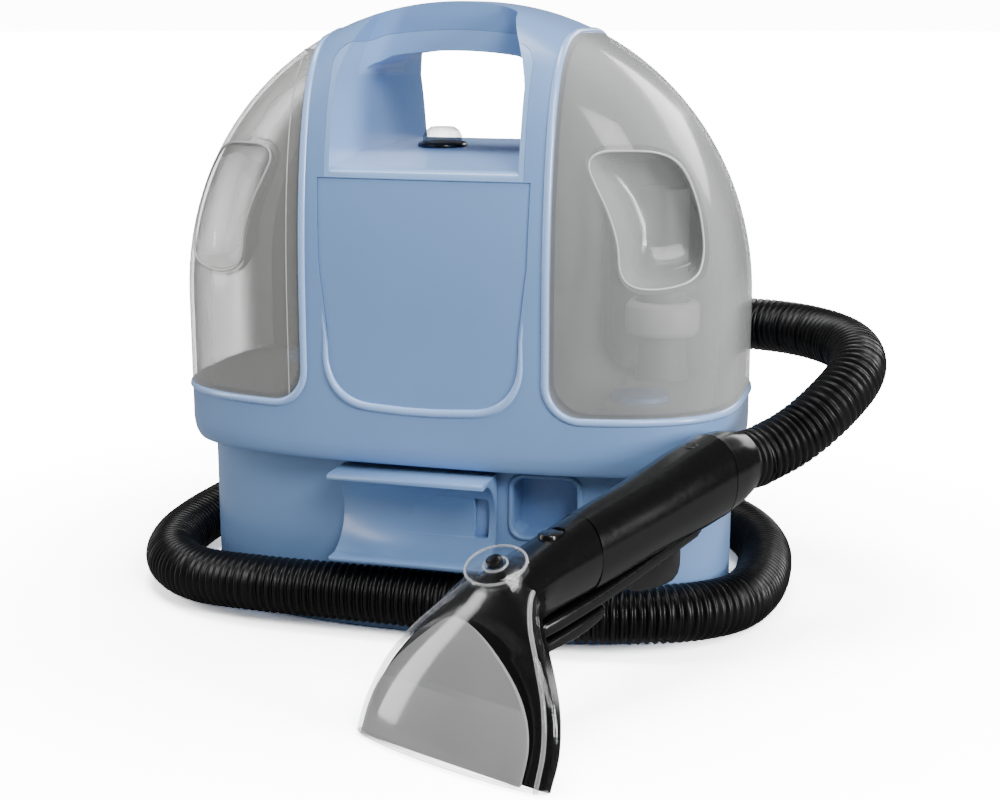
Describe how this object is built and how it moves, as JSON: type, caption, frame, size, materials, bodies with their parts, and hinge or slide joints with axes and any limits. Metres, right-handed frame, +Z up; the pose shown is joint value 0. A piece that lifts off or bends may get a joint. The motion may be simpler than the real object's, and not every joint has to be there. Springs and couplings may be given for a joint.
{
  "type": "spot extractor",
  "caption": "Portable twin-tank spot extractor with a carrying arch, lift-off clear tanks, a corrugated suction hose, and a hand wand with a clear-fronted upholstery tool.",
  "frame": {"origin": "centre of the flat underside, on the surface the machine stands on", "axes": "+Z up, the front panel and the tool face -Y, +X to the right of someone facing the front"},
  "size_m": [0.4554, 0.4636, 0.352],
  "materials": {
    "blue_plastic": "satin moulded",
    "smoke_clear": "clear moulded, smoke tinted",
    "black_plastic": "satin moulded",
    "dark_rubber": "flexible, satin",
    "steel": "plated",
    "white_nylon": "matte moulded",
    "grey_plastic": "frosted",
    "board_green": "coated board"
  },
  "bodies": {
    "machine": {"base_plate": "blue_plastic", "base_tub": "blue_plastic", "button_spring": "steel", "clean_dock": "dark_rubber", "control_board": "board_green", "cord_bushing": "black_plastic", "exhaust_grille": "black_plastic", "fan_housing": "grey_plastic", "foot_front_left": "dark_rubber", "foot_front_right": "dark_rubber", "foot_rear_left": "dark_rubber", "foot_rear_right": "dark_rubber", "front_body": "blue_plastic", "front_panel": "blue_plastic", "handle_liner": "blue_plastic", "hook_lower_left": "blue_plastic", "hook_lower_right": "blue_plastic", "hook_upper": "blue_plastic", "hose_clip": "blue_plastic", "hose_socket": "black_plastic", "motor_mount": "dark_rubber", "power_bezel": "black_plastic", "power_switch": "black_plastic", "pump_body": "white_nylon", "rear_body": "blue_plastic", "storage_recess": "blue_plastic", "suction_duct": "black_plastic", "suction_hose": "dark_rubber", "suction_motor": "steel", "suction_seal": "dark_rubber", "trigger_pin": "steel", "tube_cover": "black_plastic", "wand_cuff": "black_plastic", "wand_grip": "black_plastic", "wand_rail": "black_plastic"},
    "power_button": {"power_button": "smoke_clear"},
    "rotor": {"motor_shaft": "steel", "suction_fan": "white_nylon"},
    "clean_tank": {"clean_tank": "smoke_clear"},
    "clean_cap": {"clean_cap": "blue_plastic"},
    "clean_valve": {"clean_valve": "white_nylon"},
    "dirty_tank": {"dirty_tank": "smoke_clear", "dirty_stack": "grey_plastic"},
    "float_ring": {"float_ring": "white_nylon"},
    "drain_cap": {"drain_cap": "blue_plastic"},
    "trigger": {"trigger": "black_plastic"},
    "tool": {"tool_shell": "black_plastic", "tool_window": "smoke_clear", "tool_face": "grey_plastic", "spray_tip": "black_plastic"},
    "latch_button": {"latch_button": "grey_plastic"}
  },
  "joints": [
    {"name": "power_press", "type": "slide", "parent": "machine", "child": "power_button", "axis": [0, 0, -1], "range_m": [0, 0.003], "stiffness_N_per_m": 600, "deforming": ["button_spring"]},
    {"name": "rotor_spin", "type": "hinge", "parent": "machine", "child": "rotor", "pos_m": [0, 0.01, 0.12], "axis": [0, 0, 1], "continuous": true},
    {"name": "clean_tank_lift", "type": "slide", "parent": "machine", "child": "clean_tank", "axis": [0, 0, 1], "range_m": [0, 0.12]},
    {"name": "clean_cap_turn", "type": "hinge", "parent": "clean_tank", "child": "clean_cap", "pos_m": [-0.112, 0.024, 0.121], "axis": [0, 0, 1], "range_deg": [0, 90]},
    {"name": "clean_valve_lift", "type": "slide", "parent": "clean_cap", "child": "clean_valve", "axis": [0, 0, 1], "range_m": [0, 0.003], "stiffness_N_per_m": 200},
    {"name": "dirty_tank_lift", "type": "slide", "parent": "machine", "child": "dirty_tank", "axis": [0, 0, 1], "range_m": [0, 0.12]},
    {"name": "float_rise", "type": "slide", "parent": "dirty_tank", "child": "float_ring", "axis": [0, 0, 1], "range_m": [0, 0.042]},
    {"name": "drain_cap_turn", "type": "hinge", "parent": "dirty_tank", "child": "drain_cap", "pos_m": [0.112, -0.036, 0.121], "axis": [0, 0, 1], "range_deg": [0, 90]},
    {"name": "trigger_pull", "type": "hinge", "parent": "machine", "child": "trigger", "pos_m": [0.10974, -0.16238, 0.0571], "axis": [0.848, -0.5299, 0], "range_deg": [0, 2.6], "stiffness_Nm_per_rad": 1.5},
    {"name": "tool_pull", "type": "slide", "parent": "machine", "child": "tool", "axis": [-0.5299, -0.848, 0], "range_m": [0, 0.03]},
    {"name": "latch_press", "type": "slide", "parent": "tool", "child": "latch_button", "axis": [0, 0, -1], "range_m": [0, 0.002], "stiffness_N_per_m": 400}
  ]
}
